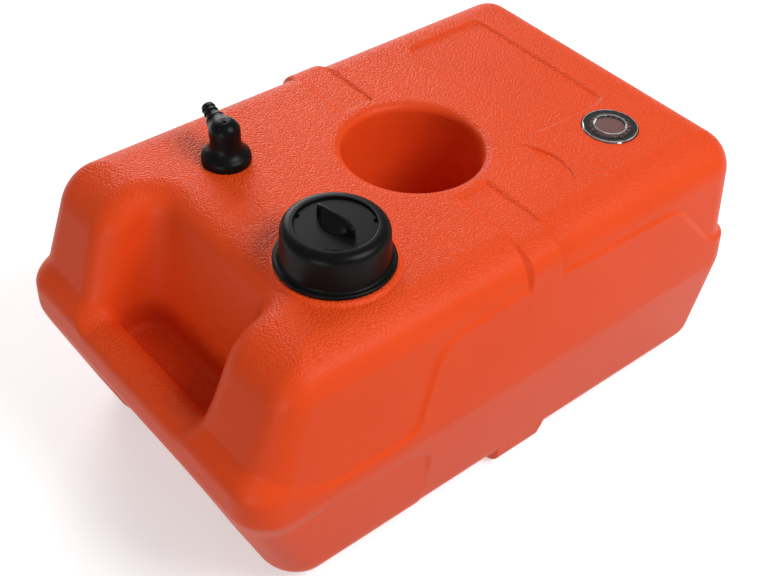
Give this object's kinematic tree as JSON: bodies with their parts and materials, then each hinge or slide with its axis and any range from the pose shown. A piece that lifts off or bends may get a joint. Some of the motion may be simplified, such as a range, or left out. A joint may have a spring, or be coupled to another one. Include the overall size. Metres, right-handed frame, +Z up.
{
  "type": "outboard fuel tank",
  "caption": "Portable moulded fuel tank for an outboard motor, with carrying bar, screw filler cap with vent, barbed fuel pick-up and a float gauge.",
  "frame": {"origin": "centre of the length and width, on the face the tank stands on", "axes": "+X along the length from the carrying bar to the contents gauge, +Y from the filler cap's side to the pick-up's side, +Z up"},
  "size_m": [0.477, 0.3, 0.269],
  "materials": {
    "tank_plastic": "satin, fine moulded grain",
    "black_plastic": "satin",
    "natural_plastic": "satin",
    "float_foam": "matt",
    "dial_plastic": "satin",
    "gauge_ring": "gloss",
    "clear_cover": "clear",
    "rubber": "matt",
    "brass": "bright drawn"
  },
  "bodies": {
    "tank": {"tank_shell": "tank_plastic", "pickup_collar": "black_plastic", "pickup_seal": "rubber", "gauge_housing": "black_plastic", "gauge_gasket": "rubber", "gauge_lens": "clear_cover", "gauge_bezel": "gauge_ring", "gauge_guide_rods": "brass", "gauge_guide_foot": "natural_plastic"},
    "cap_carrier": {"filler_cap_gasket": "rubber"},
    "cap": {"filler_cap_shell": "black_plastic", "filler_cap_lid": "black_plastic"},
    "vent_carrier": {"vent_seal": "rubber"},
    "vent": {"vent_knob": "black_plastic", "vent_stem": "black_plastic", "vent_retainer": "black_plastic"},
    "pickup": {"pickup_elbow": "black_plastic", "pickup_hose_tail": "black_plastic", "pickup_dip_tube": "natural_plastic", "pickup_strainer": "natural_plastic"},
    "float": {"gauge_float": "float_foam", "gauge_float_follower": "natural_plastic"},
    "strip": {"gauge_spiral_strip": "brass", "gauge_dial": "dial_plastic"}
  },
  "joints": [
    {"name": "cap_rise", "type": "slide", "parent": "tank", "child": "cap_carrier", "axis": [0, 0, 1], "range_m": [0, 0.0241]},
    {"name": "cap_turn", "type": "hinge", "parent": "cap_carrier", "child": "cap", "pos_m": [-0.1117, -0.0679, 0.24], "axis": [0, 0, 1], "range_deg": [0, 1080]},
    {"name": "vent_rise", "type": "slide", "parent": "cap", "child": "vent_carrier", "axis": [0, 0, 1], "range_m": [0, 0.0022]},
    {"name": "vent_turn", "type": "hinge", "parent": "vent_carrier", "child": "vent", "pos_m": [-0.1117, -0.0679, 0.262], "axis": [0, 0, 1], "range_deg": [0, 540]},
    {"name": "pickup_swivel", "type": "hinge", "parent": "tank", "child": "pickup", "pos_m": [-0.1053, 0.067, 0.232], "axis": [0, 0, 1], "continuous": true},
    {"name": "float_rise", "type": "slide", "parent": "tank", "child": "float", "axis": [0, 0, 1], "range_m": [0, 0.16]},
    {"name": "strip_turn", "type": "hinge", "parent": "tank", "child": "strip", "pos_m": [0.1515, -0.071, 0.215], "axis": [0, 0, 1], "range_deg": [-274.85, 0]}
  ],
  "couplings": [
    {"joint": "cap_rise", "follows": "cap_turn", "m_per_rad": 0.0012732},
    {"joint": "vent_rise", "follows": "vent_turn", "m_per_rad": 0.00021221},
    {"joint": "strip_turn", "follows": "float_rise", "rad_per_m": -29.97}
  ]
}
